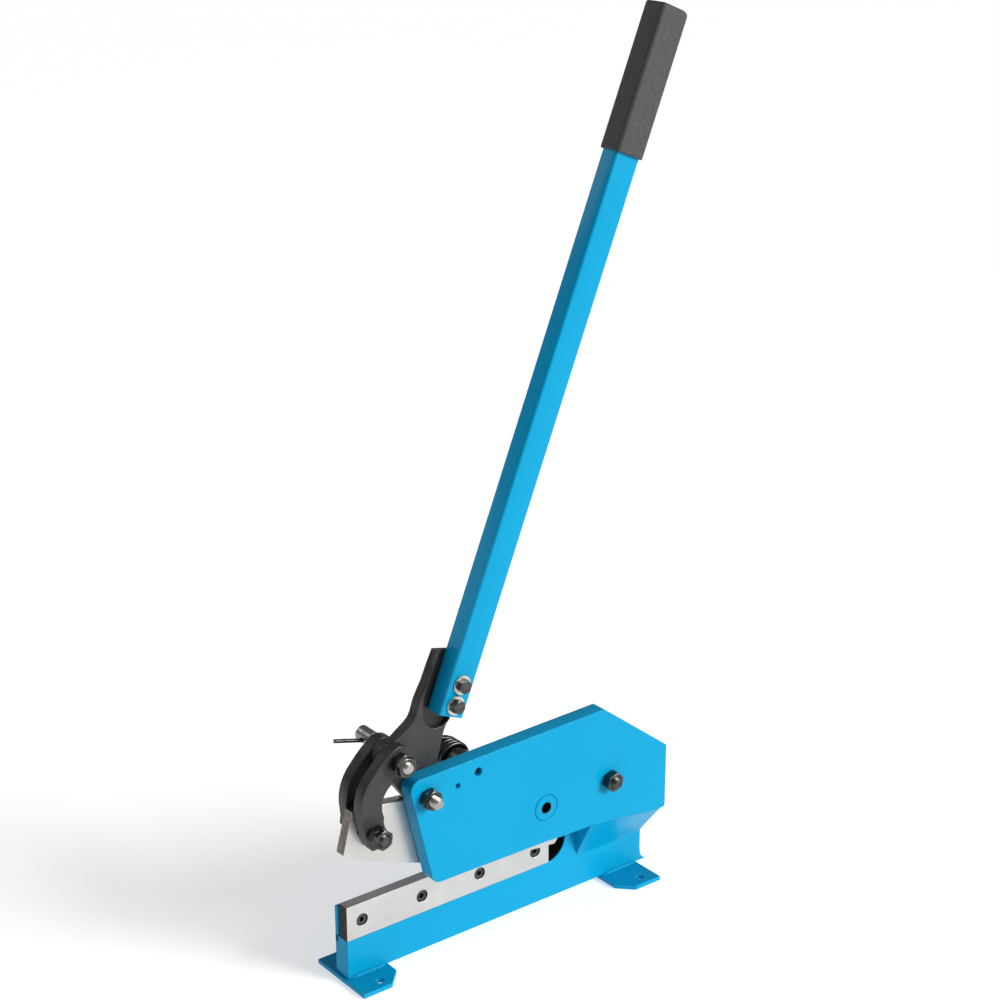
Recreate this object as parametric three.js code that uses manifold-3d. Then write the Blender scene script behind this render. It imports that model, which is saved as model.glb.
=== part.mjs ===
// Hand lever bench shear. Millimetres, +Z up, +X to the rear, -Y is the working side.
// The shear plane is Y = 0. X = 0 is the front end of the bed and Z = 0 is the bench.
import * as THREE from "three";
import { mergeVertices } from "three/addons/utils/BufferGeometryUtils.js";
import Module from "manifold-3d";

const wasm = await Module();
wasm.setup();

// Driving dimensions
const BLADE_LENGTH = 254;
const BLADE_PITCH = 72.57;
const BLADE_FIRST = 18.14;
const BLADE_T = 12;
const BED_T = 21;
const WEB_Y = 15.8;
const FOOT_T = 5;
const CHEEK_Y0 = -30.9;
const CHEEK_Y1 = -12.9;
const PIN_R = 6;
const BORE_R = 6.12;
const NUT_AF = 19;
const LINK_T = 13;
const COIL_R = 15;
const WIRE_R = 2.1;
const SLOT_R = 6.75;
const LEVER = [77.5, 194.5];
const PIVOT = [310, 139.5];
const UPPER = [47.5, 239.5];
const LOWER = [18.3, 171.8];
const STUD = [46.8, 247.5];
const POST = [138.8, 202.4];
const BAR_HOLE = [225, 134.4];
const TAIL_HOLE = [113.8, 195];
const LEG_RISE = 15.6;
const HANDLE_LEAN = 22.24;
const HANDLE_FOOT = [108, 270.5];
const HANDLE_LENGTH = 575;
const GRIP_START = 560;
const GRIP_END = 703;

const root = new THREE.Group();

// Finishes
const finish = (color, roughness, metalness) => ({ color, roughness, metalness });
const BLUE = finish(0x0094d2, 0.35, 0.1);
const BLACK = finish(0x2c2d2f, 0.55, 0.5);
const STEEL = finish(0xbfc2c4, 0.35, 0.9);
const ZINC = finish(0xa9acab, 0.3, 0.9);
const RUBBER = finish(0x303032, 0.85, 0);

// Solid modelling helpers
function solidOf(geometry) {
  const g = geometry.clone();
  g.deleteAttribute("normal");
  g.deleteAttribute("uv");
  const m = mergeVertices(g, 1e-3);
  return new wasm.Manifold(
    new wasm.Mesh({
      numProp: 3,
      vertProperties: new Float32Array(m.attributes.position.array),
      triVerts: new Uint32Array(m.index.array),
    }),
  );
}

function geometryOf(solid) {
  const m = solid.getMesh();
  const g = new THREE.BufferGeometry();
  g.setAttribute("position", new THREE.BufferAttribute(m.vertProperties, 3));
  g.setIndex(new THREE.BufferAttribute(m.triVerts, 1));
  const flat = g.toNonIndexed();
  flat.computeVertexNormals();
  return flat;
}

function piece(name, solid, look) {
  const material = new THREE.MeshStandardMaterial(look);
  const mesh = new THREE.Mesh(geometryOf(solid), material);
  mesh.name = name;
  root.add(mesh);
  return mesh;
}

// A plate in the X-Z plane, from y0 to y1, with optional round holes [x, z, r].
function plate(points, y0, y1, holes = [], segments = 20) {
  const shape = new THREE.Shape(points.map(([x, z]) => new THREE.Vector2(x, z)));
  for (const [x, z, r] of holes) {
    const path = new THREE.Path();
    path.absarc(x, z, r, 0, Math.PI * 2, true);
    shape.holes.push(path);
  }
  const g = new THREE.ExtrudeGeometry(shape, {
    depth: y1 - y0,
    bevelEnabled: false,
    curveSegments: segments / 2,
  });
  g.rotateX(Math.PI / 2);
  g.translate(0, y1, 0);
  return solidOf(g);
}

// A flat plate in the X-Y plane, from z0 to z1.
function slab(points, z0, z1, holes = []) {
  const shape = new THREE.Shape(points.map(([x, y]) => new THREE.Vector2(x, y)));
  for (const [x, y, r] of holes) {
    const path = new THREE.Path();
    path.absarc(x, y, r, 0, Math.PI * 2, true);
    shape.holes.push(path);
  }
  const g = new THREE.ExtrudeGeometry(shape, { depth: z1 - z0, bevelEnabled: false, curveSegments: 8 });
  g.translate(0, 0, z0);
  return solidOf(g);
}

// Points along an arc about a centre, in degrees.
function arc([cx, cz], r, from, to, steps) {
  const points = [];
  for (let i = 0; i <= steps; i++) {
    const a = THREE.MathUtils.degToRad(from + ((to - from) * i) / steps);
    points.push([cx + r * Math.cos(a), cz + r * Math.sin(a)]);
  }
  return points;
}

// A turned piece on an axis along Y: pairs of [radius, y] from one end to the other.
function turned(profile, [x, z], segments = 20) {
  const g = new THREE.LatheGeometry(
    profile.map(([r, y]) => new THREE.Vector2(r, y)),
    segments,
  );
  g.translate(x, 0, z);
  return solidOf(g);
}

function rod(r, y0, y1, at, chamfer = 0.6, segments = 20) {
  const c = chamfer;
  return turned([[0, y0], [r - c, y0], [r, y0 + c], [r, y1 - c], [r - c, y1], [0, y1]], at, segments);
}

function box(x0, x1, y0, y1, z0, z1) {
  const g = new THREE.BoxGeometry(x1 - x0, y1 - y0, z1 - z0);
  g.translate((x0 + x1) / 2, (y0 + y1) / 2, (z0 + z1) / 2);
  return solidOf(g);
}

// A hexagon prism along Y with rounded-off corners at both ends, solid or with a bore.
function hex(af, y0, y1, at, bore = 0, turn = 0) {
  const r = af / Math.sqrt(3);
  const corners = [];
  for (let i = 0; i < 6; i++) {
    const a = THREE.MathUtils.degToRad(60 * i + turn);
    corners.push([at[0] + r * Math.cos(a), at[1] + r * Math.sin(a)]);
  }
  const prism = plate(corners, y0, y1, bore ? [[at[0], at[1], bore]] : []);
  const e = r - af / 2 + 0.2;
  const cone = turned(
    [[0, y0], [r - e, y0], [r + 0.2, y0 + 0.9], [r + 0.2, y1 - 0.9], [r - e, y1], [0, y1]],
    at,
    24,
  );
  return prism.intersect(cone);
}

function ring(outer, inner, y0, y1, at, segments = 24) {
  return turned([[inner, y0], [outer, y0], [outer, y1], [inner, y1], [inner, y0]], at, segments);
}

// Frame: bed, column, sloped shoulder and cheek in one piece.
function frameSolid() {
  const bed = plate(
    [
      [0, 5.2], [390, 5.2], [384, 10], [382, 20], [382, 60], [376, 66], [292, 66],
      [290, 79.4], [0, 79.4],
    ],
    0,
    BED_T,
  );
  const rabbet = plate(
    [[-5, 47.2], ...arc([251, 72.5], 25.3, -90, 16, 12), [275.3, 90], [-5, 90]],
    -5,
    WEB_Y,
  );
  const screws = bladeScrewX().map((x) => rod(4.15, 10, 30, [x, 66.3], 0.1, 20));
  const setters = setScrewX().map((x) => rod(3.15, 10, 30, [x, 58], 0.1, 16));
  let made = bed.subtract(rabbet);
  for (const s of [...screws, ...setters]) made = made.subtract(s);
  return made.add(shoulder()).add(cheek());
}

function bladeScrewX() {
  return [0, 1, 2, 3].map((i) => BLADE_FIRST + BLADE_PITCH * i);
}

function setScrewX() {
  return [0, 1, 2, 3].map((i) => BLADE_FIRST + 22 + BLADE_PITCH * i * 0.9);
}

// The sloped shoulder that carries the cheek out over the bed.
function shoulder() {
  const levels = [
    [[292, 0, 34], [382, 0, 34], [382, 20.9, 34], [292, 20.9, 34]],
    [[292, 0, 44], [382, 0, 44], [382, 20.9, 52], [292, 20.9, 52]],
    [[288, -30.9, 93], [388.5, -30.9, 82], [388.5, -12.9, 94], [288, -12.9, 96]],
    [[288, -30.9, 104], [388.5, -30.9, 104], [388.5, -12.9, 104], [288, -12.9, 104]],
  ];
  const position = levels.flat(2);
  const index = [0, 2, 1, 0, 3, 2];
  for (let l = 0; l < 3; l++) {
    for (let i = 0; i < 4; i++) {
      const a = l * 4 + i;
      const b = l * 4 + ((i + 1) % 4);
      index.push(a, b, b + 4, a, b + 4, a + 4);
    }
  }
  index.push(12, 13, 14, 12, 14, 15);
  const g = new THREE.BufferGeometry();
  g.setAttribute("position", new THREE.Float32BufferAttribute(position, 3));
  g.setIndex(index);
  return solidOf(g);
}

function cheek() {
  const outline = [
    ...arc([92.5, 107.5], 11.3, 197, 268, 5),
    [103, 96.2], [225, 95], [247, 93.8], [287.6, 93], [325, 88.3], [376, 81.4], [388.5, 82],
    [388.5, 156], [300.4, 222.4],
    ...arc([68.5, 205.2], 11, 88.5, 197, 7),
  ];
  const holes = [
    [...LEVER, BORE_R], [...PIVOT, BORE_R], [...BAR_HOLE, 14.5], [...POST, 4.6], [...TAIL_HOLE, 2.8],
  ];
  return plate(outline, CHEEK_Y0, CHEEK_Y1, holes);
}

piece("frame", frameSolid(), BLUE);

// Feet, flat plates under the two ends of the bed with one cut corner and two bolt holes each.
const frontFoot = [[-2.7, -31.6], [31, -31.6], [47.9, -14.5], [47.9, 49.7], [-2.7, 49.7]];
const rearFoot = [[343, -39], [377, -39], [377, 49.7], [327, 49.7], [327, -23]];
piece("foot_front", slab(frontFoot, 0, FOOT_T, [[23.9, -20.4, 4.2], [23.9, 38, 4.2]]), BLUE);
piece("foot_rear", slab(rearFoot, 0, FOOT_T, [[357.8, -27.6, 4.2], [352, 38, 4.2]]), BLUE);

// Lower blade with four counterbored screws, and set screws that back it off the web.
function lowerBlade() {
  let made = box(0, BLADE_LENGTH, 0, BLADE_T, 47.5, 85.4);
  for (const x of bladeScrewX()) {
    made = made.subtract(rod(6.6, -5, 7.5, [x, 66.3], 0.1, 20));
    made = made.subtract(rod(4.3, -5, 20, [x, 66.3], 0.1, 20));
  }
  return made;
}

function capScrew(x) {
  const at = [x, 66.3];
  const body = rod(6.2, 0.9, 7.2, at, 0.5, 20).add(rod(4, 6, 23, at, 0.5, 20));
  return body.subtract(hex(5, -3, 4.6, at));
}

piece("lower_blade", lowerBlade(), STEEL);
bladeScrewX().forEach((x, i) => piece("blade_screw_" + (i + 1), capScrew(x), BLACK));
setScrewX().forEach((x, i) => {
  const screw = rod(3, BLADE_T + 0.3, 26, [x, 58], 0.5, 16);
  piece("set_screw_" + (i + 1), screw.subtract(hex(3, 22.5, 29, [x, 58])), BLACK);
});

// Round-bar bush in the cheek, with a groove round its face.
function barBush() {
  const y0 = CHEEK_Y0 - 0.4;
  const y1 = CHEEK_Y1;
  const body = turned(
    [
      [5.5, y0], [9.6, y0], [9.6, y0 + 1.2], [11.2, y0 + 1.2], [11.2, y0], [14.2, y0],
      [14.2, y1], [5.5, y1], [5.5, y0],
    ],
    BAR_HOLE,
    36,
  );
  return body;
}
piece("bar_bush", barBush(), BLUE);

// Pivot bolts through the cheek: head on the far side, nut and free end on the near side.
function bolt(at, headY, endY, turn) {
  const shank = rod(PIN_R, endY, headY + 1, at, 1, 20);
  return shank.add(hex(NUT_AF, headY, headY + 7.5, at, 0, turn));
}
piece("lever_pivot_bolt", bolt(LEVER, 0.2, -50.5, 10), ZINC);
piece("lever_pivot_nut", hex(NUT_AF, -37.5, CHEEK_Y0 - 0.3, LEVER, BORE_R, 8), BLACK);
piece("lever_pivot_jam_nut", hex(NUT_AF, -41.3, -37.8, LEVER, BORE_R, 27), BLACK);
piece("blade_pivot_bolt", bolt(PIVOT, 0.2, -45.5, 0), BLACK);
piece("blade_pivot_nut", hex(NUT_AF, -41, CHEEK_Y0 - 0.3, PIVOT, BORE_R, 14), BLACK);

// Spring post: shank in the cheek, a thicker seat inside the coil, and a retaining washer.
function springPost() {
  const [r, s] = [12.2, 4.45];
  return turned(
    [[0, -26], [s - 0.4, -26], [s, -25.6], [s, CHEEK_Y1 + 0.3], [r, CHEEK_Y1 + 0.3], [r, 26], [5, 26],
      [5, 33], [4.4, 33.6], [0, 33.6]],
    POST,
  );
}
piece("spring_post", springPost(), BLACK);
piece("spring_retainer", ring(16, 5.1, 28.2, 30.2, POST), BLACK);

// A round wire along a path of points.
function wire(points, steps, sides = 8, tension = 0.5) {
  const circle = [];
  for (let i = 0; i < sides; i++) {
    const a = (i / sides) * Math.PI * 2;
    circle.push(new THREE.Vector2(WIRE_R * Math.cos(a), WIRE_R * Math.sin(a)));
  }
  const path = new THREE.CatmullRomCurve3(
    points.map((p) => new THREE.Vector3(...p)),
    false,
    "catmullrom",
    tension,
  );
  const g = new THREE.ExtrudeGeometry(new THREE.Shape(circle), { steps, extrudePath: path, bevelEnabled: false });
  return solidOf(g);
}

// Fixed tail of the spring: from the coil's near end down to its hole in the cheek.
function springTail() {
  const [x, z] = TAIL_HOLE;
  return wire(
    [[x, -24, z], [x, -16, z], [x, -8, z], [x, 0, z], [x + 0.6, 2.2, z + 0.3], [x + 3.5, 3.2, z + 1.8], [x + 9, 3.2, z + 4.6]],
    16,
  );
}
piece("spring_tail", springTail(), BLACK);

// Coil with the long leg that crosses the stud.
function springCoil() {
  const turns = 4;
  const start = 210;
  const end = 90 - LEG_RISE + 360 * turns;
  const points = [];
  const steps = turns * 12;
  for (let i = 0; i <= steps; i++) {
    const a = THREE.MathUtils.degToRad(start + ((end - start) * i) / steps);
    const y = 5.4 + ((24 - 5.4) * i) / steps;
    points.push([POST[0] + COIL_R * Math.cos(a), y, POST[1] + COIL_R * Math.sin(a)]);
  }
  const rise = THREE.MathUtils.degToRad(LEG_RISE);
  const [lx, , lz] = points[points.length - 1];
  for (const d of [12, 30, 60, 100, 118, 141]) {
    points.push([lx - d * Math.cos(rise), 24.3, lz + d * Math.sin(rise)]);
  }
  return wire(points, 120, 8);
}
piece("torsion_spring", springCoil(), BLACK);

// Upper blade: curved cutting edge, hub for the pivot, and a clearance slot for the link bolt.
function upperBlade() {
  const outline = [
    [1.5, 195.4], [-9.8, 152.3], [9.5, 142.3], [32.7, 131.9], [56.3, 122.2], [82.8, 112.3],
    [110, 103.3], [140, 94.6], [175, 86.4], [212, 80], [252, 76],
    ...arc(PIVOT, 29, 222, 447, 16),
    ...arc(LEVER, 13.8, 330, 205, 9),
    [56.5, 189.6], [38.8, 192.1],
  ];
  const holes = [[...PIVOT, BORE_R], [...BAR_HOLE, 5.6]];
  const slot = [
    ...arc([LOWER[0] + 5, LOWER[1] - 2.4], SLOT_R, -115.6, 64.4, 10),
    ...arc([LOWER[0] - 5, LOWER[1] + 2.4], SLOT_R, 64.4, 244.4, 10),
  ];
  return plate(outline, -12.3, -0.3, holes).subtract(plate(slot, -20, 5));
}
piece("upper_blade", upperBlade(), STEEL);

// C-shaped links, one each side of the lever and the blade.
function linkSolid(y0) {
  const centre = [50, 199];
  const outline = [
    ...arc(UPPER, 16.5, -115, 95, 12),
    [40.9, 252], [31.6, 245.7], [23, 238.6],
    ...arc(centre, 47.5, 140, 193, 9),
    [5.2, 178.5], [9.2, 167], [15.2, 154.6],
    ...arc(LOWER, 17.6, 260, 345, 7),
    [32.2, 172.5], [29.6, 179],
    ...arc([52.5, 197], 25, 205, 122, 10),
  ];
  const body = plate(outline, y0, y0 + LINK_T, [[...UPPER, BORE_R], [...LOWER, BORE_R]]);
  return body;
}
piece("link_near", linkSolid(-25.9), BLACK);
piece("link_far", linkSolid(0), BLACK);

// Lower link bolt and its two nuts.
piece("link_bolt", rod(PIN_R, -43.5, 22, LOWER, 1).add(hex(NUT_AF, 13.3, 20.5, LOWER, 0, 20)), BLACK);
piece("link_nut_inner", hex(NUT_AF, -36, -26.2, LOWER, BORE_R, 5), BLACK);
piece("link_nut_outer", hex(NUT_AF, -41.6, -36.3, LOWER, BORE_R, 24), BLACK);

// Stud on the far link, notched from below for the spring leg.
function springStud() {
  const body = rod(8.1, 13.3, 36, STUD, 1, 24);
  const notch = box(-20, 20, 21.9, 26.7, -20, 3.5);
  const turned = notch.rotate([0, LEG_RISE - 4, 0]).translate([STUD[0], 0, STUD[1] - 4.2]);
  return body.subtract(turned);
}
piece("spring_stud", springStud(), ZINC);

// Lever forging: hub, arm end and the pocket that holds the handle.
const lean = THREE.MathUtils.degToRad(HANDLE_LEAN);
const along = [Math.sin(lean), Math.cos(lean)];
const across = [Math.cos(lean), -Math.sin(lean)];
const handleAt = (s, w) => [
  HANDLE_FOOT[0] + along[0] * s + across[0] * w,
  HANDLE_FOOT[1] + along[1] * s + across[1] * w,
];
const BOLTS = [33, 11.9].map((s) => handleAt(s, 0));

function leverForging() {
  const outline = [
    ...arc(UPPER, 15.5, 70, 220, 10),
    ...arc(LEVER, 13, 220, 355, 8),
    [102.4, 217.2], [108.8, 242.3], [113.4, 254.5], [122, 262], handleAt(2, 14), handleAt(64, 14),
    [105.5, 334], [92, 305], [82.5, 288], [78, 275], [70, 265.5],
  ];
  const holes = [[...UPPER, BORE_R], [...LEVER, BORE_R], ...BOLTS.map((p) => [...p, 4.15])];
  const body = plate(outline, -12.6, -0.3, holes);
  const pocket = plate(
    [
      ...arc([104, 271.3], 16, 168, 330, 10),
      handleAt(-2, 30), handleAt(80, 30), [115, 350], [103.5, 334], [94.6, 308], [87.4, 292], [86.6, 282.7],
    ],
    -20,
    -6.6,
  );
  return body.subtract(pocket);
}
piece("lever_forging", leverForging(), BLACK);

// A bar with rounded corners along the handle axis: w across, from y0 to y1, from s0 to s1.
function handleBar(w, y0, y1, s0, s1, r, bevel) {
  const [hx, hy] = [w / 2, (y1 - y0) / 2];
  const shape = new THREE.Shape();
  shape.moveTo(-hx + r, -hy);
  shape.lineTo(hx - r, -hy);
  shape.quadraticCurveTo(hx, -hy, hx, -hy + r);
  shape.lineTo(hx, hy - r);
  shape.quadraticCurveTo(hx, hy, hx - r, hy);
  shape.lineTo(-hx + r, hy);
  shape.quadraticCurveTo(-hx, hy, -hx, hy - r);
  shape.lineTo(-hx, -hy + r);
  shape.quadraticCurveTo(-hx, -hy, -hx + r, -hy);
  const g = new THREE.ExtrudeGeometry(shape, {
    depth: s1 - s0 - 2 * bevel,
    bevelEnabled: bevel > 0,
    bevelThickness: bevel,
    bevelSize: bevel,
    bevelOffset: -bevel,
    bevelSegments: 3,
    curveSegments: 4,
  });
  g.translate(0, 0, s0 + bevel);
  g.rotateY(lean);
  g.translate(HANDLE_FOOT[0], (y0 + y1) / 2, HANDLE_FOOT[1]);
  return solidOf(g);
}

function handleTube() {
  let made = handleBar(30, -28.6, -6.9, 0, HANDLE_LENGTH, 3, 0);
  const inside = handleBar(25, -26.1, -9.4, -1, HANDLE_LENGTH - 3, 1.5, 0);
  made = made.subtract(inside);
  for (const p of BOLTS) made = made.subtract(rod(4.2, -40, 5, p, 0.1, 24));
  return made;
}
piece("handle_tube", handleTube(), BLUE);

function gripSolid() {
  const inside = handleBar(30.6, -28.9, -6.6, GRIP_START - 5, HANDLE_LENGTH + 0.4, 3, 0);
  return handleBar(35, -31.8, -3.8, GRIP_START, GRIP_END, 4.5, 2.5).subtract(inside);
}
piece("grip", gripSolid(), RUBBER);

BOLTS.forEach((p, i) => {
  const n = i + 1;
  const screw = rod(4, -31, 9.5, p, 0.6, 20).add(hex(13, -36.4, -30.9, p, 0, 12 + 20 * i));
  piece("handle_bolt_" + n, screw, BLACK);
  piece("handle_washer_" + n, ring(10, 4.25, -30.6, -28.9, p, 24), ZINC);
  piece("handle_nut_" + n, hex(13, 0, 6.6, p, 4.2, 25 + 14 * i), BLACK);
});

// Upper link pin and its nuts.
piece("upper_pin", rod(PIN_R, -44, 12.6, UPPER, 0.8), ZINC);
piece("upper_nut_inner", hex(NUT_AF, -34.6, -26.2, UPPER, BORE_R, 16), BLACK);
piece("upper_nut_outer", hex(NUT_AF, -41.4, -34.9, UPPER, BORE_R, 40), BLACK);

export default root;
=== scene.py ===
import math
import bmesh
import bpy
from mathutils import Matrix, Vector


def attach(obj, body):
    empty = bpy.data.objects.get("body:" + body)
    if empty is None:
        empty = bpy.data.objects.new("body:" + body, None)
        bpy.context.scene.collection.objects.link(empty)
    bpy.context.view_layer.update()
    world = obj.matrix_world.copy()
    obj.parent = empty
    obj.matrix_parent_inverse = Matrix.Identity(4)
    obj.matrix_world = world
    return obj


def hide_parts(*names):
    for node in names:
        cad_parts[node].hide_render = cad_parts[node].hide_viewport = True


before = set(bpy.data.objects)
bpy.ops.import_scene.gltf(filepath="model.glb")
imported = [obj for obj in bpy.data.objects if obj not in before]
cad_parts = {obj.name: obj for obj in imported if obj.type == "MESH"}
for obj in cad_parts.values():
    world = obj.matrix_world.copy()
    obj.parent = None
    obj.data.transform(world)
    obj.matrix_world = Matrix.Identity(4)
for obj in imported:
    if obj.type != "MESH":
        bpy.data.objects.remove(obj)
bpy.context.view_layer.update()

MM = 0.001

# Shared dimensions in millimetres, as in the CAD model. Points are (X, Z), and Y runs across the blade.
# Axes of the linkage, from the lever's pivot to the lower link bolt.
LEVER = (77.5, 194.5)
PIVOT = (310.0, 139.5)
UPPER = (47.5, 239.5)
LOWER = (18.3, 171.8)
PIN_R = 6.0
PIN_PITCH = 1.75
BORE = 6.12
NUT_AF = 19
# Bed and cheek of the frame.
BED_T = 21
WEB_FRONT = 15.8
WEB_TOP = 79.4
FOOT_T = 5
CHEEK_Y = (-30.9, -12.9)
CHEEK_SEAT = -31.2
BAR_HOLE = (225.0, 134.4)
# Lower blade, its cap screws and the set screws behind it.
BLADE_LENGTH = 254
BLADE_BOTTOM = 47.5
BLADE_TOP = 85.4
SCREW_X = [18.14 + 72.57 * i for i in range(4)]
SCREW_Z = 66.3
SET_X = [40.14 + 65.313 * i for i in range(4)]
SET_Z = 58
# Upper blade and links.
UPPER_BLADE_Y = (-12.3, -0.3)
SLOT_R = 6.75
LINK_T = 13
LINK_FRONT = {"near": -25.9, "far": 0.0}
LINK_SEAT = -26.2
# Handle: its foot on the forging, its lean from the vertical, and its tube and grip.
HANDLE_FOOT = (108.0, 270.5)
LEAN = math.radians(22.24)
TUBE_Y = -17.75
GRIP_Y = -17.8
GRIP_START = 560
GRIP_END = 702.9
GRIP_SECTION = (35, 28, 4.5)
# Spring: coil, post, tail and the stud that its leg crosses.
POST = (138.8, 202.4)
TAIL_HOLE = (113.8, 195.0)
STUD = (46.8, 247.5)
STUD_R = 8.1
COIL_R = 15
COIL_Y = (5.4, 24)
COIL_TURNS = 4
WIRE_R = 2.1
LEG_RISE = math.radians(15.6)
# Studio, in metres: floor, point that the lights aim at, and the camera.
FLOOR_HALF = 30
FLOOR_Z = -0.0002
CENTRE = (0.19, 0.0, 0.35)
CAMERA_AT = (-1.00375, -1.53305, 1.18299)
CAMERA_AIM = (0.18957, 0.0, 0.46637)
LENS = 77.42
SENSOR = 36


# ---------------------------------------------------------------- materials
def base_material(name, color, metallic, rough):
    mat = bpy.data.materials.new(name)
    mat.use_nodes = True
    bsdf = mat.node_tree.nodes["Principled BSDF"]
    bsdf.inputs["Base Color"].default_value = (*color, 1)
    bsdf.inputs["Metallic"].default_value = metallic
    bsdf.inputs["Roughness"].default_value = rough
    return mat, mat.node_tree.nodes, mat.node_tree.links, bsdf


def coords(nodes, links, stretch=(1, 1, 1)):
    tc = nodes.new("ShaderNodeTexCoord")
    mp = nodes.new("ShaderNodeMapping")
    mp.inputs["Scale"].default_value = stretch
    links.new(tc.outputs["Object"], mp.inputs["Vector"])
    return mp.outputs["Vector"]


def noise(nodes, links, vec, scale, detail=4, rough=0.55):
    n = nodes.new("ShaderNodeTexNoise")
    n.inputs["Scale"].default_value = scale
    n.inputs["Detail"].default_value = detail
    n.inputs["Roughness"].default_value = rough
    links.new(vec, n.inputs["Vector"])
    return n.outputs["Fac"]


def ramp(nodes, links, fac, stops):
    r = nodes.new("ShaderNodeValToRGB")
    el = r.color_ramp.elements
    while len(el) < len(stops):
        el.new(0.5)
    for e, (pos, col) in zip(el, stops):
        e.position = pos
        e.color = (*col, 1)
    links.new(fac, r.inputs["Fac"])
    return r.outputs["Color"]


def bump(nodes, links, bsdf, fac, strength, distance, below=None):
    b = nodes.new("ShaderNodeBump")
    b.inputs["Strength"].default_value = strength
    b.inputs["Distance"].default_value = distance
    links.new(fac, b.inputs["Height"])
    if below is not None:
        links.new(below, b.inputs["Normal"])
    links.new(b.outputs["Normal"], bsdf.inputs["Normal"])
    return b.outputs["Normal"]


def grey(v):
    return (v, v, v)


def paint(name, light, dark):
    mat, n, l, bsdf = base_material(name, light, 0.0, 0.34)
    vec = coords(n, l)
    tone = noise(n, l, vec, 6, 3)
    l.new(ramp(n, l, tone, [(0.3, dark), (0.7, light)]), bsdf.inputs["Base Color"])
    gloss = noise(n, l, vec, 55, 5)
    l.new(ramp(n, l, gloss, [(0.3, grey(0.3)), (0.75, grey(0.4))]), bsdf.inputs["Roughness"])
    first = bump(n, l, bsdf, noise(n, l, vec, 260, 2), 0.05, 0.0002)
    bump(n, l, bsdf, noise(n, l, vec, 28, 2), 0.05, 0.0008, first)
    bsdf.inputs["Specular IOR Level"].default_value = 0.06
    bsdf.inputs["Coat Weight"].default_value = 0.14
    bsdf.inputs["Coat Roughness"].default_value = 0.14
    return mat


def ground(name, stretch, tone):
    mat, n, l, bsdf = base_material(name, grey(tone), 1.0, 0.3)
    vec = coords(n, l, stretch)
    lines = noise(n, l, vec, 220, 6, 0.7)
    cloud = noise(n, l, coords(n, l), 30, 4)
    warm = (tone * 1.02, tone, tone * 0.97)
    l.new(ramp(n, l, cloud, [(0.25, tuple(0.86 * c for c in warm)), (0.7, warm)]), bsdf.inputs["Base Color"])
    l.new(ramp(n, l, lines, [(0.3, grey(0.3)), (0.7, grey(0.46))]), bsdf.inputs["Roughness"])
    bump(n, l, bsdf, lines, 0.3, 0.0004)
    return mat


def forged(name, low, high, rough):
    mat, n, l, bsdf = base_material(name, grey(low), 0.25, rough)
    vec = coords(n, l)
    grain = noise(n, l, vec, 520, 4, 0.6)
    patch = noise(n, l, vec, 34, 5, 0.6)
    stops = [(0.3, grey(low)), (0.62, grey(high)), (0.82, grey(high * 1.5))]
    l.new(ramp(n, l, patch, stops), bsdf.inputs["Base Color"])
    l.new(ramp(n, l, grain, [(0.3, grey(rough - 0.1)), (0.7, grey(rough + 0.14))]), bsdf.inputs["Roughness"])
    first = bump(n, l, bsdf, grain, 0.5, 0.0007)
    bump(n, l, bsdf, patch, 0.3, 0.002, first)
    return mat


def metal(name, low, high, rough, spread=0.12):
    mat, n, l, bsdf = base_material(name, high, 1.0, rough)
    vec = coords(n, l)
    patch = noise(n, l, vec, 130, 5, 0.6)
    l.new(ramp(n, l, patch, [(0.3, low), (0.7, high)]), bsdf.inputs["Base Color"])
    gloss = noise(n, l, vec, 300, 3)
    l.new(ramp(n, l, gloss, [(0.3, grey(rough)), (0.7, grey(rough + spread))]), bsdf.inputs["Roughness"])
    bump(n, l, bsdf, noise(n, l, vec, 700, 3), 0.15, 0.0003)
    return mat


def rubber(name):
    mat, n, l, bsdf = base_material(name, grey(0.05), 0.0, 0.62)
    vec = coords(n, l)
    v = n.new("ShaderNodeTexVoronoi")
    v.inputs["Scale"].default_value = 950
    l.new(vec, v.inputs["Vector"])
    stops = [(0.3, (0.030, 0.029, 0.033)), (0.72, (0.054, 0.052, 0.058))]
    l.new(ramp(n, l, noise(n, l, vec, 300, 4), stops), bsdf.inputs["Base Color"])
    first = bump(n, l, bsdf, v.outputs["Distance"], 0.4, 0.0004)
    bump(n, l, bsdf, noise(n, l, vec, 1300, 3), 0.2, 0.0003, first)
    return mat


BLUE = paint("blue_enamel", (0.0, 0.30, 0.56), (0.0, 0.28, 0.53))
STEEL = ground("ground_blade", (0.05, 1, 1), 0.63)
# Dark scale: the real scale on the lower blade's end, and also painted shade in the blade recess and in the
# bush bore.
SCALE_AND_SHADE = metal("dark_scale_and_shade", (0.018, 0.017, 0.016), (0.05, 0.047, 0.044), 0.5)
EDGE = metal("blade_end_scale", (0.16, 0.13, 0.11), (0.3, 0.27, 0.25), 0.5)
FORGED = forged("black_forging", 0.022, 0.036, 0.42)
# Mottled worn metal, used as a painted highlight on the rounded edges that face the working side.
WORN_HIGHLIGHT = metal("worn_edge_highlight", (0.03, 0.03, 0.03), (0.17, 0.165, 0.16), 0.36)
OXIDE = metal("black_oxide", (0.04, 0.04, 0.043), (0.115, 0.112, 0.108), 0.32)
ZINC = metal("zinc_plate", (0.5, 0.49, 0.46), (0.72, 0.71, 0.68), 0.26)
DARK_STEEL = metal("turned_steel", (0.2, 0.195, 0.19), (0.38, 0.37, 0.36), 0.3)
TURNED = metal("bolt_zinc", (0.32, 0.31, 0.29), (0.55, 0.54, 0.51), 0.28)
SPRING = metal("oiled_spring", (0.05, 0.05, 0.052), (0.12, 0.12, 0.12), 0.25)
RUBBER = rubber("moulded_grip")


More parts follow.
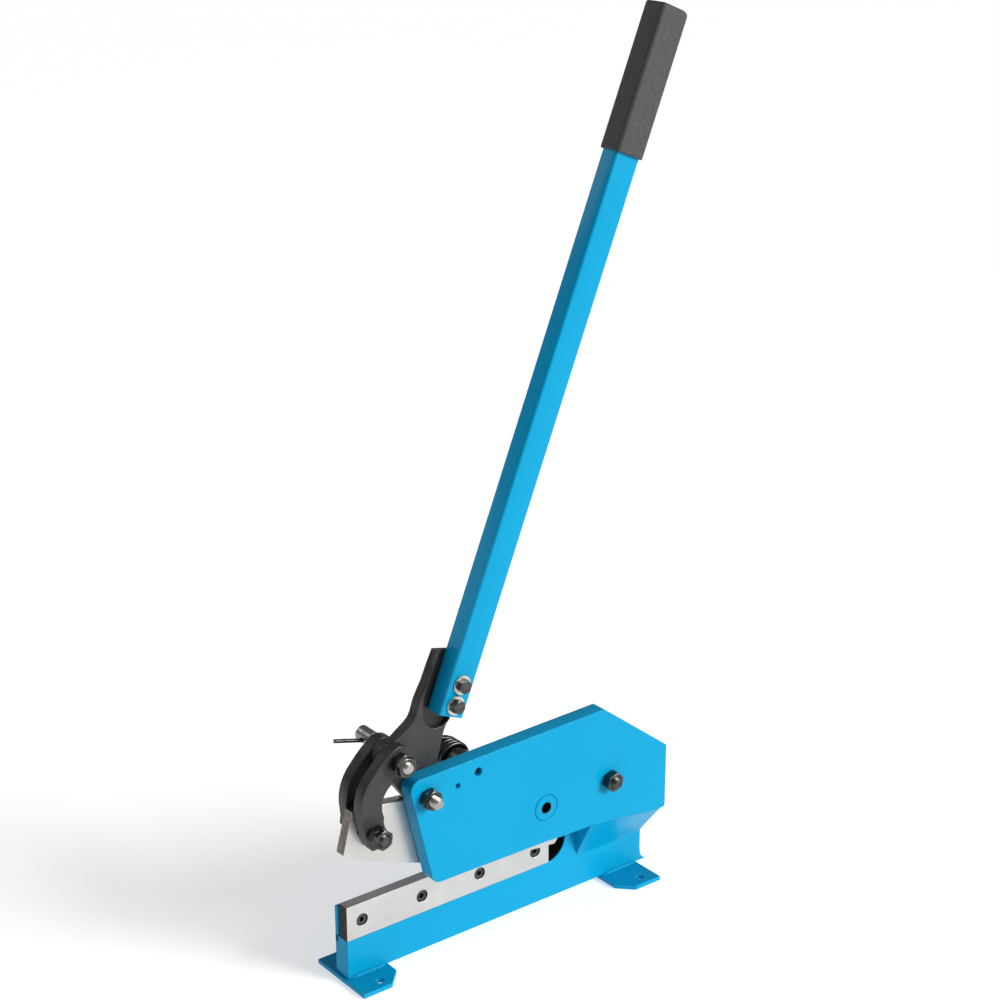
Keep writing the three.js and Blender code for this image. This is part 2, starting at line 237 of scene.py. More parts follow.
# ---------------------------------------------------------------- mesh helpers
def finish_mesh(name, mesh, mat, body, nodes=(), angle=32):
    for p in mesh.polygons:
        p.use_smooth = True
    mesh.set_sharp_from_angle(angle=math.radians(angle))
    obj = bpy.data.objects.new(name, mesh)
    bpy.context.scene.collection.objects.link(obj)
    if mat is not None:
        mesh.materials.clear()
        mesh.materials.append(mat)
    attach(obj, body)
    if nodes:
        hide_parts(*nodes)
    return obj


def recolour(obj, mat, test):
    """Gives another material to the faces whose centre (in millimetres) and normal pass a test."""
    obj.data.materials.append(mat)
    for p in obj.data.polygons:
        if test(p.center / MM, p.normal):
            p.material_index = len(obj.data.materials) - 1


def mesh_from(bm, name):
    bmesh.ops.remove_doubles(bm, verts=bm.verts, dist=1e-7)
    bmesh.ops.recalc_face_normals(bm, faces=bm.faces)
    mesh = bpy.data.meshes.new(name)
    bm.to_mesh(mesh)
    bm.free()
    return mesh


def merged(name, meshes):
    bm = bmesh.new()
    for m in meshes:
        bm.from_mesh(m)
    mesh = bpy.data.meshes.new(name)
    bm.to_mesh(mesh)
    bm.free()
    return mesh


def circle(at, r, steps=48):
    turns = [2 * math.pi * i / steps for i in range(steps)]
    return [(at[0] + r * math.cos(a), at[1] + r * math.sin(a)) for a in turns]


def arc(at, r, start, end, steps):
    out = []
    for i in range(steps + 1):
        a = math.radians(start + (end - start) * i / steps)
        out.append((at[0] + r * math.cos(a), at[1] + r * math.sin(a)))
    return out


def flat(outline, low, high, holes=(), edge=0.5, steps=3):
    """A plate with rounded edges, drawn in its own plane between two heights (millimetres)."""
    curve = bpy.data.curves.new("outline", "CURVE")
    curve.dimensions = "2D"
    curve.fill_mode = "BOTH"
    for ring in [outline, *holes]:
        spline = curve.splines.new("POLY")
        spline.points.add(len(ring) - 1)
        for p, (a, b) in zip(spline.points, ring):
            p.co = (a * MM, b * MM, 0, 1)
        spline.use_cyclic_u = True
    curve.extrude = ((high - low) / 2 - edge) * MM
    curve.bevel_depth = edge * MM
    curve.bevel_resolution = steps
    curve.offset = -edge * MM
    obj = bpy.data.objects.new("outline", curve)
    bpy.context.scene.collection.objects.link(obj)
    bpy.context.view_layer.update()
    mesh = bpy.data.meshes.new_from_object(obj.evaluated_get(bpy.context.evaluated_depsgraph_get()))
    bpy.data.objects.remove(obj)
    mesh.transform(Matrix.Translation((0, 0, (low + high) / 2 * MM)))
    return mesh


def plate(outline, y0, y1, holes=(), edge=0.5, steps=3):
    """A plate in the X-Z plane between y0 and y1."""
    mesh = flat(outline, -y1, -y0, holes, edge, steps)
    mesh.transform(Matrix.Rotation(math.pi / 2, 4, "X"))
    return mesh


def turned(profile, at, segments=56):
    """A closed profile of (radius, y) turned about an axis along Y."""
    bm = bmesh.new()
    rings = []
    for r, y in profile:
        ring = []
        for i in range(segments):
            a = 2 * math.pi * i / segments
            x = at[0] + r * math.cos(a)
            z = at[1] + r * math.sin(a)
            ring.append(bm.verts.new((x * MM, y * MM, z * MM)))
        rings.append(ring)
    count = len(rings)
    closed = profile[0] == profile[-1]
    for j in range(count - 1):
        a, b = rings[j], rings[j + 1]
        for i in range(segments):
            k = (i + 1) % segments
            bm.faces.new((a[i], a[k], b[k], b[i]))
    if closed:
        bmesh.ops.remove_doubles(bm, verts=bm.verts, dist=1e-7)
    bmesh.ops.dissolve_degenerate(bm, edges=bm.edges, dist=1e-7)
    return mesh_from(bm, "turned")


def thread(r, y0, y1, pitch):
    """Profile of a threaded end from its free tip at y0 to y1."""
    depth = pitch * 0.5
    tip = 1.3
    out = [(0, y0), (r - depth - 1.1, y0), (r - 0.5, y0 + tip)]
    y = y0 + tip
    while y + pitch < y1:
        out += [(r - depth, y), (r - depth, y + pitch * 0.3)]
        out += [(r - 0.1, y + pitch * 0.6), (r - 0.1, y + pitch * 0.75)]
        y += pitch
    out.append((r - depth, y))
    return out


def bolt_mesh(at, tip, shank, end):
    """Threaded from tip to shank, plain from shank to end, all on one axis along Y."""
    plain = [(PIN_R, shank + 0.4), (PIN_R, end - 0.6), (PIN_R - 0.6, end), (0, end)]
    return turned(thread(PIN_R, tip, shank, PIN_PITCH) + plain, at)


def hexagon(af, y0, y1, at, bore=0.0, turn=0.0, cut=(True, True)):
    """A hexagon along Y with the curved corner chamfers of a real nut or bolt head."""
    steps = 96
    flat_r = af / 2 * 0.96
    rows = []

    def ring(radius_of, y_of):
        out = []
        for i in range(steps):
            a = 2 * math.pi * i / steps
            r = radius_of(a)
            b = a + math.radians(turn)
            out.append(((at[0] + r * math.cos(b)) * MM, y_of(r) * MM, (at[1] + r * math.sin(b)) * MM))
        return out

    def hex_r(a):
        return af / 2 / math.cos((a % (math.pi / 3)) - math.pi / 6) - 0.12

    def top(r):
        return y1 - (max(0, r - flat_r) * 0.5 if cut[1] else 0.1)

    def bottom(r):
        return y0 + (max(0, r - flat_r) * 0.5 if cut[0] else 0.1)

    inner = bore if bore else 0.0
    if bore:
        rows.append(ring(lambda a: inner, lambda r: y0 + 1.0))
    rows.append(ring(lambda a: inner + 0.9 if bore else 0.0, lambda r: y0))
    rows.append(ring(lambda a: flat_r, lambda r: y0))
    rows.append(ring(hex_r, bottom))
    rows.append(ring(hex_r, top))
    rows.append(ring(lambda a: flat_r, lambda r: y1))
    rows.append(ring(lambda a: inner + 0.9 if bore else 0.0, lambda r: y1))
    if bore:
        rows.append(ring(lambda a: inner, lambda r: y1 - 1.0))
        rows.append(rows[0])
    bm = bmesh.new()
    made = [[bm.verts.new(p) for p in row] for row in rows]
    for a, b in zip(made, made[1:]):
        for i in range(steps):
            k = (i + 1) % steps
            bm.faces.new((a[i], a[k], b[k], b[i]))
    bmesh.ops.remove_doubles(bm, verts=bm.verts, dist=1e-7)
    bmesh.ops.dissolve_degenerate(bm, edges=bm.edges, dist=1e-7)
    return mesh_from(bm, "hexagon")


def wire(points, r, sides=4):
    """A round wire through points in millimetres, with capped ends."""
    curve = bpy.data.curves.new("wire", "CURVE")
    curve.dimensions = "3D"
    spline = curve.splines.new("POLY")
    spline.points.add(len(points) - 1)
    for p, co in zip(spline.points, points):
        p.co = (*[c * MM for c in co], 1)
    curve.bevel_depth = r * MM
    curve.bevel_resolution = sides
    curve.use_fill_caps = True
    obj = bpy.data.objects.new("wire", curve)
    bpy.context.scene.collection.objects.link(obj)
    bpy.context.view_layer.update()
    mesh = bpy.data.meshes.new_from_object(obj.evaluated_get(bpy.context.evaluated_depsgraph_get()))
    bpy.data.objects.remove(obj)
    return mesh


# ---------------------------------------------------------------- frame
def rounded_box(x0, x1, y0, y1, r=1.6, steps=4):
    corners = [(x1 - r, y1 - r), (x0 + r, y1 - r), (x0 + r, y0 + r), (x1 - r, y0 + r)]
    out = []
    for i, corner in enumerate(corners):
        out += arc(corner, r, 90 * i, 90 * (i + 1), steps)
    return out


def shoulder_mesh():
    """The sloped shoulder: sections that leave the bed's face in a soft fold and end inside the cheek."""
    levels = []
    for i in range(5):
        levels.append((0.0, 36 + 1.2 * i, 0.6 - 0.12 * i))
    for i in range(1, 15):
        levels.append((i / 14, None, None))
    bm = bmesh.new()
    rings = []
    for t, z, inset in levels:
        if z is not None:
            section = [(x, y, z) for x, y in rounded_box(292 + inset, 382 - inset, inset, 20.4)]
        else:
            fold = t * t / (t + 0.06)
            y_out = -30.7 * fold
            y_in = 20.4 - 33.5 * min(1, t * 1.02)
            section = []
            for x, y in rounded_box(292 - 4 * t, 382 + 6.4 * t, y_out, y_in):
                share = (y - y_out) / (y_in - y_out)
                rear = (x - 288) / 100.5
                z_out = 41 + (52.5 - 11.2 * rear) * t
                z_in = 49 + (47 - 2 * rear) * t
                section.append((x, y, z_out + (z_in - z_out) * share))
        rings.append([bm.verts.new([c * MM for c in p]) for p in section])
    top = [(x, y, 104) for x, y in rounded_box(288.3, 388.2, -30.6, -13.2)]
    rings.append([bm.verts.new([c * MM for c in p]) for p in top])
    for a, b in zip(rings, rings[1:]):
        n = len(a)
        for i in range(n):
            k = (i + 1) % n
            bm.faces.new((a[i], a[k], b[k], b[i]))
    bm.faces.new(rings[0][::-1])
    bm.faces.new(rings[-1])
    return mesh_from(bm, "shoulder")


def cheek_outline():
    return [
        *arc((92.5, 107.5), 11.3, 197, 268, 12),
        (103, 96.2), (225, 95), (247, 93.8), (287.6, 93), (325, 88.3), (376, 81.4),
        *arc((386, 84.5), 2.5, -80, 0, 5), *arc((386.5, 154), 2, 0, 52, 4),
        *arc((299.5, 219.4), 3, 52, 89, 5),
        *arc((68.5, 205.2), 11, 88.5, 197, 16),
    ]


def build_frame():
    rear_fillet = [(390, 5.2), (385.5, 8.5), (383, 13), (382, 20)]
    rear_top = [(382, 62), (376, 66), (300, 66), (290, 73), (290, WEB_TOP), (276, WEB_TOP)]
    recess = arc((251, 72.5), 25.3, 12, -90, 18)
    bed = plate([(0, 5.2), *rear_fillet, *rear_top, *recess, (0, 47.2)], 0, BED_T, edge=0.8)
    screw_holes = [circle((x, SCREW_Z), 4.2, 24) for x in SCREW_X]
    screw_holes += [circle((x, SET_Z), 3.2, 24) for x in SET_X]
    web = plate([(0, 40), (290, 40), (290, WEB_TOP), (0, WEB_TOP)], WEB_FRONT, BED_T, screw_holes, edge=0.5)
    holes = [circle(LEVER, BORE), circle(PIVOT, BORE), circle(BAR_HOLE, 14.4, 72)]
    holes += [circle(POST, 4.6, 32), circle(TAIL_HOLE, 2.8, 32)]
    cheek = plate(cheek_outline(), *CHEEK_Y, holes, edge=0.9, steps=4)
    whole = merged("frame_body", [bed, web, shoulder_mesh(), cheek])
    obj = finish_mesh("frame_body", whole, BLUE, "frame", ["frame"])
    # The pocket beyond the blade end gets dark scale: bare steel there, darkened further as painted shade.
    recolour(obj, SCALE_AND_SHADE, painted_shade_blade_recess)


def painted_shade_blade_recess(centre, normal):
    """The pocket beyond the rear end of the lower blade: its dark colour is partly bare steel and partly
    painted shade of the deep recess.
    """
    return BLADE_LENGTH + 0.4 < centre.x < 276.5 and 47.3 < centre.z < 80 and 1.2 < centre.y < 17


def build_feet():
    front = [(-2.7, -31.6), (31, -31.6), (47.9, -14.5), (47.9, 49.7), (-2.7, 49.7)]
    rear = [(343, -39), (377, -39), (377, 49.7), (327, 49.7), (327, -23)]
    front_holes = [(23.9, -20.4), (23.9, 38)]
    rear_holes = [(357.8, -27.6), (352, 38)]
    for name, outline, holes in (("front", front, front_holes), ("rear", rear, rear_holes)):
        mesh = flat(outline, 0, FOOT_T, [circle(h, 4.2, 40) for h in holes], edge=0.5)
        finish_mesh("foot_plate_" + name, mesh, BLUE, "frame", ["foot_" + name])


def weld_bead(name, start, end, y):
    """A rippled weld bead along X, in the corner between bed and foot."""
    bm = bmesh.new()
    steps = int(abs(end - start) * 2.2)
    ring = 10
    rows = []
    for i in range(steps + 1):
        t = i / steps
        x = start + (end - start) * t
        wobble = 0.18 * math.sin(x * 1.9) + 0.10 * math.sin(x * 0.7 + 1)
        fade = min(1, 6 * t + 0.15, 6 * (1 - t) + 0.15)
        size = (2.6 + wobble) * fade
        row = []
        for k in range(ring):
            a = 2 * math.pi * k / ring
            across = y + size * 0.9 * math.cos(a)
            up = 5.6 + size * 0.9 * math.sin(a)
            row.append(bm.verts.new((x * MM, across * MM, up * MM)))
        rows.append(row)
    for a, b in zip(rows, rows[1:]):
        for k in range(ring):
            j = (k + 1) % ring
            bm.faces.new((a[k], a[j], b[j], b[k]))
    bm.faces.new(rows[0])
    bm.faces.new(rows[-1])
    finish_mesh(name, mesh_from(bm, name), BLUE, "frame", angle=60)


def build_bush():
    front, back = -31.3, CHEEK_Y[1]
    bore = [(5.5, back), (5.5, front + 0.9), (6.3, front)]
    rim = [(13.2, front), (14.1, front + 0.9), (14.1, back), (5.5, back)]
    mesh = turned(bore + rim, BAR_HOLE, 96)
    obj = finish_mesh("bar_bush_ring", mesh, BLUE, "frame", ["bar_bush"])
    # The bore of the bush gets dark scale as painted shade, so the hole reads dark.
    recolour(obj, SCALE_AND_SHADE, painted_shade_bush_bore)


def painted_shade_bush_bore(centre, normal):
    return math.hypot(centre.x - BAR_HOLE[0], centre.z - BAR_HOLE[1]) < 6.0


# ---------------------------------------------------------------- blades and screws
def build_lower_blade():
    """Two layers, so that each screw hole is wide at the front for the head and narrow behind it."""
    bottom, top = BLADE_BOTTOM, BLADE_TOP
    outline = [(0, bottom), (BLADE_LENGTH, bottom), (BLADE_LENGTH, top), (0, top)]
    near = plate(outline, 0, 7.5, [circle((x, SCREW_Z), 6.6, 40) for x in SCREW_X], edge=0.3)
    far = plate(outline, 7.3, 12, [circle((x, SCREW_Z), 4.3, 32) for x in SCREW_X], edge=0.3)
    whole = merged("lower_blade_body", [near, far])
    obj = finish_mesh("lower_blade_body", whole, STEEL, "frame", ["lower_blade"])
    recolour(obj, SCALE_AND_SHADE, lambda centre, normal: normal.x < -0.5)


def build_cap_screws():
    socket = [(0, 4.6), (2.2, 4.4), (2.4, 1.6), (2.7, 1.0)]
    head = [(5.6, 0.9), (6.2, 1.5), (6.2, 7.2), (4, 7.4)]
    shank = [(4, 22.4), (3.4, 23), (0, 23)]
    for i, x in enumerate(SCREW_X, 1):
        mesh = turned(socket + head + shank, (x, SCREW_Z), 48)
        finish_mesh(f"cap_screw_{i}", mesh, OXIDE, "frame", [f"blade_screw_{i}"])
    profile = [(0, 12.3), (1.6, 12.3), (3, 13.6), (3, 25.4), (2.5, 26), (1.5, 26), (1.45, 23.2), (0, 23)]
    for i, x in enumerate(SET_X, 1):
        mesh = turned(profile, (x, SET_Z), 32)
        finish_mesh(f"set_screw_body_{i}", mesh, OXIDE, "frame", [f"set_screw_{i}"])


def clearance_slot():
    """The long hole that gives the lower link bolt room where the linkage is open."""
    near_end = arc((LOWER[0] + 5, LOWER[1] - 2.4), SLOT_R, -115.6, 64.4, 24)
    far_end = arc((LOWER[0] - 5, LOWER[1] + 2.4), SLOT_R, 64.4, 244.4, 24)
    return near_end + far_end


def build_upper_blade():
    cut = [
        (-9.8, 152.3), (-0.5, 147.2), (9.5, 142.3), (21, 136.9), (32.7, 131.9), (44.4, 127), (56.3, 122.2),
        (69.5, 117.1), (82.8, 112.3), (96, 107.6), (110, 103.3), (125, 98.8), (140, 94.6), (157, 90.3),
        (175, 86.4), (193, 83), (212, 80), (232, 77.6), (252, 76),
    ]
    hub = arc(PIVOT, 29, 222, 447, 40)
    notch = arc(LEVER, 13.8, 330, 205, 20)
    outline = [(1.5, 195.4), *cut, *hub, *notch, (56.5, 189.6), (38.8, 192.1)]
    holes = [circle(PIVOT, BORE), circle(BAR_HOLE, 5.6, 36), clearance_slot()]
    mesh = plate(outline, *UPPER_BLADE_Y, holes, edge=0.3)
    obj = finish_mesh("upper_blade_body", mesh, STEEL, "upper_blade", ["upper_blade"])
    recolour(obj, EDGE, lambda centre, normal: normal.x < -0.8)


# ---------------------------------------------------------------- links and lever
def highlighted_edge(centre, normal):
    """True on the rounded edges that face the working side, which get a painted highlight in mottled
    worn-metal colour.
    """
    return 0.55 < -normal.y < 0.88


def link_outline():
    return [
        *arc(UPPER, 16.5, -115, 92, 36),
        (41, 253.4), (36, 250.6), (31, 247), (26.4, 243), (22, 238.7), (17.8, 234.2),
        *arc((50, 199), 47.5, 140, 190, 30),
        (3.7, 184.5), (5.2, 178.5), (7.1, 172.4), (9.2, 167), (12, 160.4), (13.2, 157.4), (14.8, 155.6),
        *arc(LOWER, 17.6, 260, 345, 20),
        (34, 169.9), (32.2, 172.5), (30.7, 175.6), (29.6, 179), (29.2, 182.5),
        *arc((52.5, 197), 25, 205, 122, 26),
    ]


def build_links():
    for side, y in LINK_FRONT.items():
        holes = [circle(UPPER, BORE), circle(LOWER, BORE)]
        mesh = plate(link_outline(), y, y + LINK_T, holes, edge=1.4, steps=4)
        obj = finish_mesh("link_plate_" + side, mesh, FORGED, "links", ["link_" + side], 40)
        # The rounded edges that face the working side get a painted highlight.
        recolour(obj, WORN_HIGHLIGHT, highlighted_edge)


def handle_at(s, w):
    """The point s along the handle from its foot and w across it."""
    x = HANDLE_FOOT[0] + math.sin(LEAN) * s + math.cos(LEAN) * w
    z = HANDLE_FOOT[1] + math.cos(LEAN) * s - math.sin(LEAN) * w
    return (x, z)


HANDLE_BOLTS = [handle_at(33, 0), handle_at(11.9, 0)]


def build_forging():
    """A flat back plate with a raised rim in front of it. The rim leaves a pocket for the handle tube."""
    ends = [*arc(UPPER, 15.5, 70, 220, 26), *arc(LEVER, 13, 220, 355, 20)]
    right = [(97, 200), (102.4, 217.2), (105.8, 230), (108.8, 242.3), (111, 249.5), (113.8, 255)]
    right.append((118, 259.3))
    left = [(98.6, 320), (92, 305), (86.8, 296), (82.5, 288), (79.9, 281), (78, 275), (75, 270)]
    left += [(70, 265.5), (62, 260.5)]
    pocket = arc((104, 271.3), 17.1, 330, 180, 20)
    pocket += [(86.9, 283), (87.9, 291.6), (91.4, 300), (94.9, 308), (103.0, 333.4)]
    holes = [circle(UPPER, BORE), circle(LEVER, BORE)]
    body = [*ends, *right, (122, 262), handle_at(2, 14), handle_at(64, 14), (105.5, 334), *left]
    back = plate(body, -6.6, -0.3, holes + [circle(p, 4.15, 32) for p in HANDLE_BOLTS], edge=0.6)
    front = plate([*ends, *right, *pocket, (105.5, 333.9), *left], -12.6, -5.0, holes, edge=0.7, steps=3)
    whole = merged("lever_forging_body", [back, front])
    obj = finish_mesh("lever_forging_body", whole, FORGED, "lever", ["lever_forging"], 40)
    # The rounded edges that face the working side get a painted highlight.
    recolour(obj, WORN_HIGHLIGHT, highlighted_edge)


def bar_section(w, d, r, steps=6):
    """A rounded rectangle w across the handle and d deep."""
    return rounded_box(-w / 2, w / 2, -d / 2, d / 2, r, steps)


def scaled(ring, across, deep):
    return [(w * across, d * deep) for w, d in ring]


def along_handle(levels, y_mid):
    """A shell through the sections [(s, ring)] along the handle, open at its first and last ring."""
    bm = bmesh.new()
    rows = []
    for s, ring in levels:
        row = []
        for w, d in ring:
            x, z = handle_at(s, w)
            row.append(bm.verts.new((x * MM, (y_mid + d) * MM, z * MM)))
        rows.append(row)
    for a, b in zip(rows, rows[1:]):
        n = len(a)
        for k in range(n):
            j = (k + 1) % n
            bm.faces.new((a[k], a[j], b[j], b[k]))
    return bm, rows


def build_tube():
    outside = bar_section(30, 21.7, 2.6)
    inside = bar_section(25, 16.7, 1.2)
    soft = scaled(outside, 0.985, 0.98)
    bore = [(555, inside), (0.5, inside), (0, scaled(inside, 1.02, 1.02))]
    skin = [(0, soft), (0.5, outside), (572, outside), (574, soft)]
    bm, rows = along_handle(bore + skin, TUBE_Y)
    bm.faces.new(rows[-1])
    bm.faces.new(rows[0][::-1])
    finish_mesh("handle_tube_body", mesh_from(bm, "tube"), BLUE, "lever", ["handle_tube"])


def build_grip():
    """A moulded sleeve. Its far corner is rounded, and its other edges are soft."""
    width, depth, corner = GRIP_SECTION
    round_r, soft_r, steps = 6, 2.5, 10
    start, shoulder = GRIP_START, GRIP_END - round_r
    inner = bar_section(30.8, 22.6, 2.8)
    levels = [(start + 8, inner), (start + 0.8, inner), (start + 0.1, bar_section(31.6, 23.4, 3))]
    levels += [(start, bar_section(34, 27, 4)), (start + 0.6, bar_section(34.8, 27.8, 4.4))]
    levels += [(start + 2, bar_section(*GRIP_SECTION)), (shoulder, bar_section(*GRIP_SECTION))]
    for i in range(1, steps + 1):
        a = math.pi / 2 * i / steps
        rise = round_r * math.sin(a)
        worn = round_r * (1 - math.cos(a))
        lip = max(0, rise - (round_r - soft_r))
        soft = soft_r - math.sqrt(max(0, soft_r**2 - lip * lip))
        ring = bar_section(width - worn - 2 * soft, depth - 2 * soft, corner - soft)
        levels.append((shoulder + rise, [(w - worn / 2, d) for w, d in ring]))
    bm, rows = along_handle(levels, GRIP_Y)
    bm.faces.new(rows[0][::-1])
    bm.faces.new(rows[-1])
    finish_mesh("grip_sleeve", mesh_from(bm, "grip"), RUBBER, "lever", ["grip"], 40)


# ---------------------------------------------------------------- fasteners
def nut(name, node, at, y0, y1, af=NUT_AF, bore=PIN_R, turn=0, body="frame"):
    finish_mesh(name, hexagon(af, y0, y1, at, bore, turn), OXIDE, body, [node], 25)


def build_pivot_bolts():
    lever_bolt = merged("bolt", [bolt_mesh(LEVER, -50.5, -28, 1.0), hexagon(NUT_AF, 0.2, 7.7, LEVER, 0, 10)])
    finish_mesh("lever_bolt_body", lever_bolt, TURNED, "frame", ["lever_pivot_bolt"], 25)
    nut("lever_nut", "lever_pivot_nut", LEVER, -37.5, CHEEK_SEAT, turn=8)
    nut("lever_jam_nut", "lever_pivot_jam_nut", LEVER, -41.3, -37.8, turn=27)
    blade_bolt = merged("bolt", [bolt_mesh(PIVOT, -45.5, -28, 1.0), hexagon(NUT_AF, 0.2, 7.7, PIVOT)])
    finish_mesh("blade_bolt_body", blade_bolt, OXIDE, "frame", ["blade_pivot_bolt"], 25)
    nut("blade_nut", "blade_pivot_nut", PIVOT, -41, CHEEK_SEAT, turn=14)


def build_link_bolts():
    link_bolt = merged("bolt", [bolt_mesh(LOWER, -43.5, -25, 14), hexagon(NUT_AF, 13.3, 20.5, LOWER, 0, 20)])
    finish_mesh("link_bolt_body", link_bolt, OXIDE, "links", ["link_bolt"], 25)
    nut("link_nut_in", "link_nut_inner", LOWER, -36, LINK_SEAT, turn=5, body="links")
    nut("link_nut_out", "link_nut_outer", LOWER, -41.6, -36.3, turn=24, body="links")
    upper_pin = bolt_mesh(UPPER, -44, -25, 12.6)
    finish_mesh("upper_pin_body", upper_pin, TURNED, "lever", ["upper_pin"], 25)
    nut("upper_nut_in", "upper_nut_inner", UPPER, -34.6, LINK_SEAT, turn=16, body="lever")
    nut("upper_nut_out", "upper_nut_outer", UPPER, -41.4, -34.9, turn=40, body="lever")


def build_handle_bolts():
    """The two bolts through the tube: a ringed head, a washer under it and a nut behind the forging."""
    shank = [(0, -31), (4.0, -31), (4.0, 1), *thread_tail(4.0, 7.2, 9.5), (0, 9.5)]
    ring = [(0, -36.42), (3.2, -36.42), (3.6, -36.3), (4.0, -36.42), (4.6, -36.4), (4.6, -36), (0, -36)]
    washer = [(4.3, -28.9), (4.3, -30.3), (4.6, -30.6), (9.6, -30.6), (10, -30.2), (10, -28.9), (4.3, -28.9)]
    for i, p in enumerate(HANDLE_BOLTS):
        n = i + 1
        head = hexagon(13, -36.4, -30.9, p, 0, 12 + 20 * i, (True, False))
        bolt = merged("bolt", [turned(shank, p, 32), head, turned(ring, p, 40)])
        finish_mesh(f"handle_screw_{n}", bolt, OXIDE, "lever", [f"handle_bolt_{n}"], 25)
        finish_mesh(f"washer_{n}", turned(washer, p, 64), ZINC, "lever", [f"handle_washer_{n}"], 25)
        nut(f"handle_nut_body_{n}", f"handle_nut_{n}", p, 0, 6.6, 13, 4.0, 25 + 14 * i, "lever")


def thread_tail(r, y0, y1):
    return [(r - 0.6, y0), (r, y0 + 0.6), (r - 0.6, y0 + 1.3), (r - 0.5, y1 - 0.4), (r - 1.2, y1)]


def build_post():
    """A post riveted in the cheek, thick inside the coil, with a retaining washer on its far end."""
    rivet = [(0, -25.4), (0.8, -26), (4.0, -26), (4.45, -25.5), (4.45, -12.6)]
    seat = [(11.7, -12.6), (12.2, -12.1), (12.2, 25.5), (11.7, 26)]
    tip = [(5, 26), (5, 33), (4.4, 33.6), (0, 33.6)]
    post = turned(rivet + seat + tip, POST)
    finish_mesh("post_body", post, OXIDE, "frame", ["spring_post"])
    washer = [(5.1, 28.2), (15.6, 28.2), (16, 28.6), (16, 29.8), (15.6, 30.2), (5.1, 30.2), (5.1, 28.2)]
    finish_mesh("post_washer", turned(washer, POST), OXIDE, "frame", ["spring_retainer"])


def build_spring():
    """The coil, and the straight leg that leaves it at a tangent and crosses the stud."""
    start = math.radians(210)
    end = math.radians(90 + 360 * COIL_TURNS) - LEG_RISE
    steps = 260
    points = []
    for i in range(steps + 1):
        a = start + (end - start) * i / steps
        y = COIL_Y[0] + (COIL_Y[1] - COIL_Y[0]) * i / steps
        points.append((POST[0] + COIL_R * math.cos(a), y, POST[1] + COIL_R * math.sin(a)))
    x, _, z = points[-1]
    for d in (4, 40, 80, 110, 125, 140.2):
        points.append((x - d * math.cos(LEG_RISE), 24.3, z + d * math.sin(LEG_RISE)))
    finish_mesh("spring_wire", wire(points, WIRE_R), SPRING, "spring", ["torsion_spring"], 50)


def build_spring_tail():
    x, z = TAIL_HOLE
    points = [(x, -24, z), (x, -8, z), (x, -1, z), (x + 0.3, 1.2, z + 0.15), (x + 1.2, 2.6, z + 0.6)]
    points += [(x + 3.5, 3.2, z + 1.8), (x + 9, 3.2, z + 4.6)]
    finish_mesh("spring_tail_wire", wire(points, 2.0), SPRING, "frame", ["spring_tail"], 50)


def build_stud():
    """A round stud whose middle is cut away from below, where the spring leg rides."""
    tilt = math.degrees(LEG_RISE) - 4
    r = STUD_R
    seat = turned([(0, 13.3), (7.5, 13.3), (r, 13.9), (r, 21.9), (0, 21.9)], STUD, 72)
    bridge = plate(arc(STUD, r, -5 - tilt, 185 - tilt, 48), 21.7, 26.9, edge=0.1)
    end = turned([(0, 26.7), (r, 26.7), (r, 34.9), (7.1, 36), (2.2, 36), (1, 35.4), (0, 34.8)], STUD, 72)
    whole = merged("stud_body", [seat, bridge, end])
    finish_mesh("stud_body", whole, DARK_STEEL, "links", ["spring_stud"])


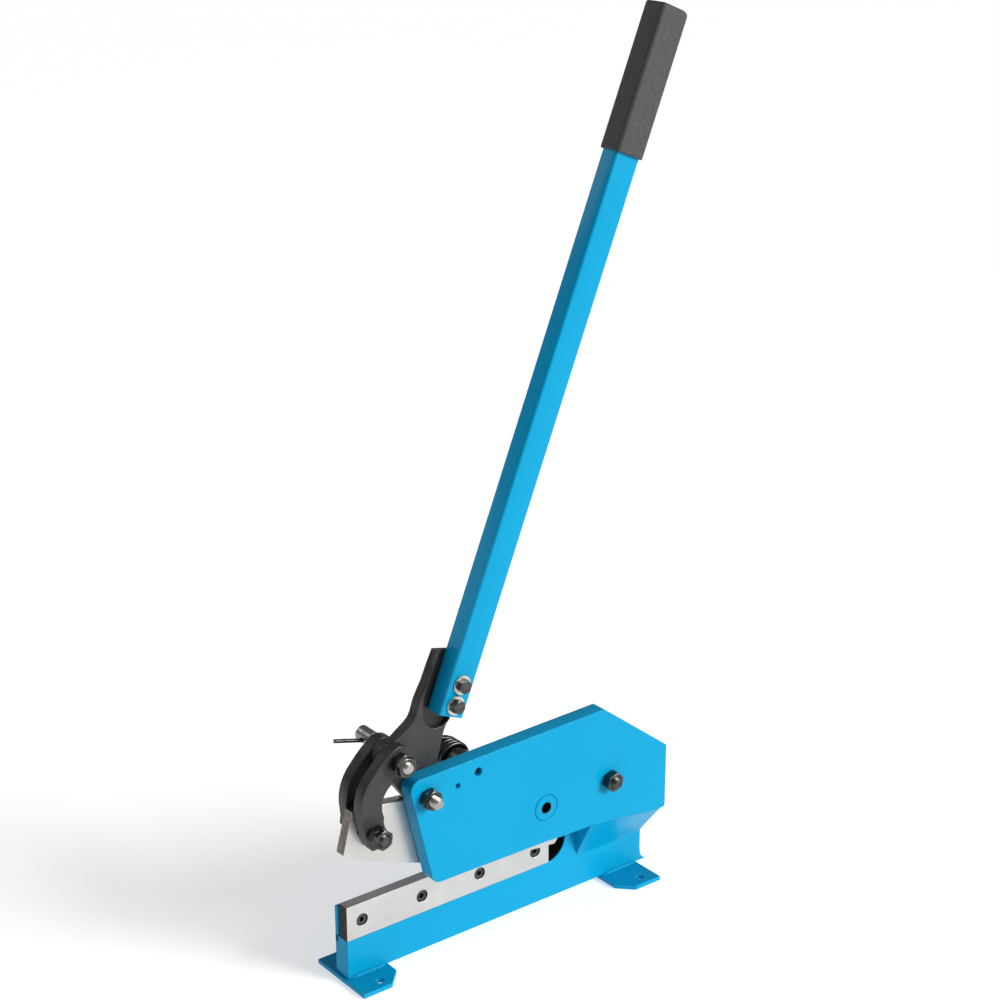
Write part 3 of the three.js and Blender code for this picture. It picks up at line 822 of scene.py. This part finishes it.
# ---------------------------------------------------------------- studio
def build_floor():
    mat, _, _, bsdf = base_material("floor_paper", (0.82, 0.82, 0.82), 0, 0.9)
    bsdf.inputs["Emission Color"].default_value = (1, 1, 1, 1)
    bsdf.inputs["Emission Strength"].default_value = 0.5
    bm = bmesh.new()
    quad = [(-1, -1), (1, -1), (1, 1), (-1, 1)]
    bm.faces.new([bm.verts.new((FLOOR_HALF * x, FLOOR_HALF * y, FLOOR_Z)) for x, y in quad])
    mesh = bpy.data.meshes.new("floor")
    bm.to_mesh(mesh)
    bm.free()
    mesh.materials.append(mat)
    floor = bpy.data.objects.new("floor", mesh)
    bpy.context.scene.collection.objects.link(floor)


def build_world():
    world = bpy.data.worlds.new("studio")
    world.use_nodes = True
    background = world.node_tree.nodes["Background"]
    background.inputs["Color"].default_value = (0.95, 0.98, 1.06, 1)
    background.inputs["Strength"].default_value = 0.22
    bpy.context.scene.world = world


def place(obj, location, aim):
    """Links a light or a camera, with its view axis on the point it aims at."""
    obj.location = location
    obj.rotation_euler = (Vector(aim) - Vector(location)).to_track_quat("-Z", "Y").to_euler()
    bpy.context.scene.collection.objects.link(obj)


def key_light(source):
    light = bpy.data.lights.new("key", "SUN")
    light.energy = 3.1
    light.color = (1.0, 0.98, 0.88)
    light.angle = math.radians(28)
    key = bpy.data.objects.new("key", light)
    place(key, source, (0, 0, 0))


def area_light(name, location, size, power):
    light = bpy.data.lights.new(name, "AREA")
    light.shape = "DISK"
    light.size = size
    light.energy = power
    obj = bpy.data.objects.new(name, light)
    place(obj, location, CENTRE)


def build_camera():
    camera = bpy.data.cameras.new("camera")
    camera.lens = LENS
    camera.sensor_width = SENSOR
    obj = bpy.data.objects.new("camera", camera)
    place(obj, CAMERA_AT, CAMERA_AIM)
    bpy.context.scene.camera = obj


build_frame()
build_feet()
weld_bead("weld_front_near", 2, 46, -0.2)
weld_bead("weld_front_far", 2, 46, 21.2)
weld_bead("weld_rear_near", 329, 375, -0.2)
weld_bead("weld_rear_far", 329, 375, 21.2)
build_bush()
build_lower_blade()
build_cap_screws()
build_upper_blade()
build_links()
build_forging()
build_tube()
build_grip()
build_pivot_bolts()
build_link_bolts()
build_handle_bolts()
build_post()
build_spring()
build_spring_tail()
build_stud()
build_floor()
build_world()
key_light((0.6, -1.0, 0.52))
area_light("panel", (1.3, -2.0, 1.0), 0.7, 8)
area_light("rim", (-0.9, 2.0, 1.8), 1.0, 6)
build_camera()
bpy.context.scene.view_settings.view_transform = "Standard"

bpy.context.view_layer.update()
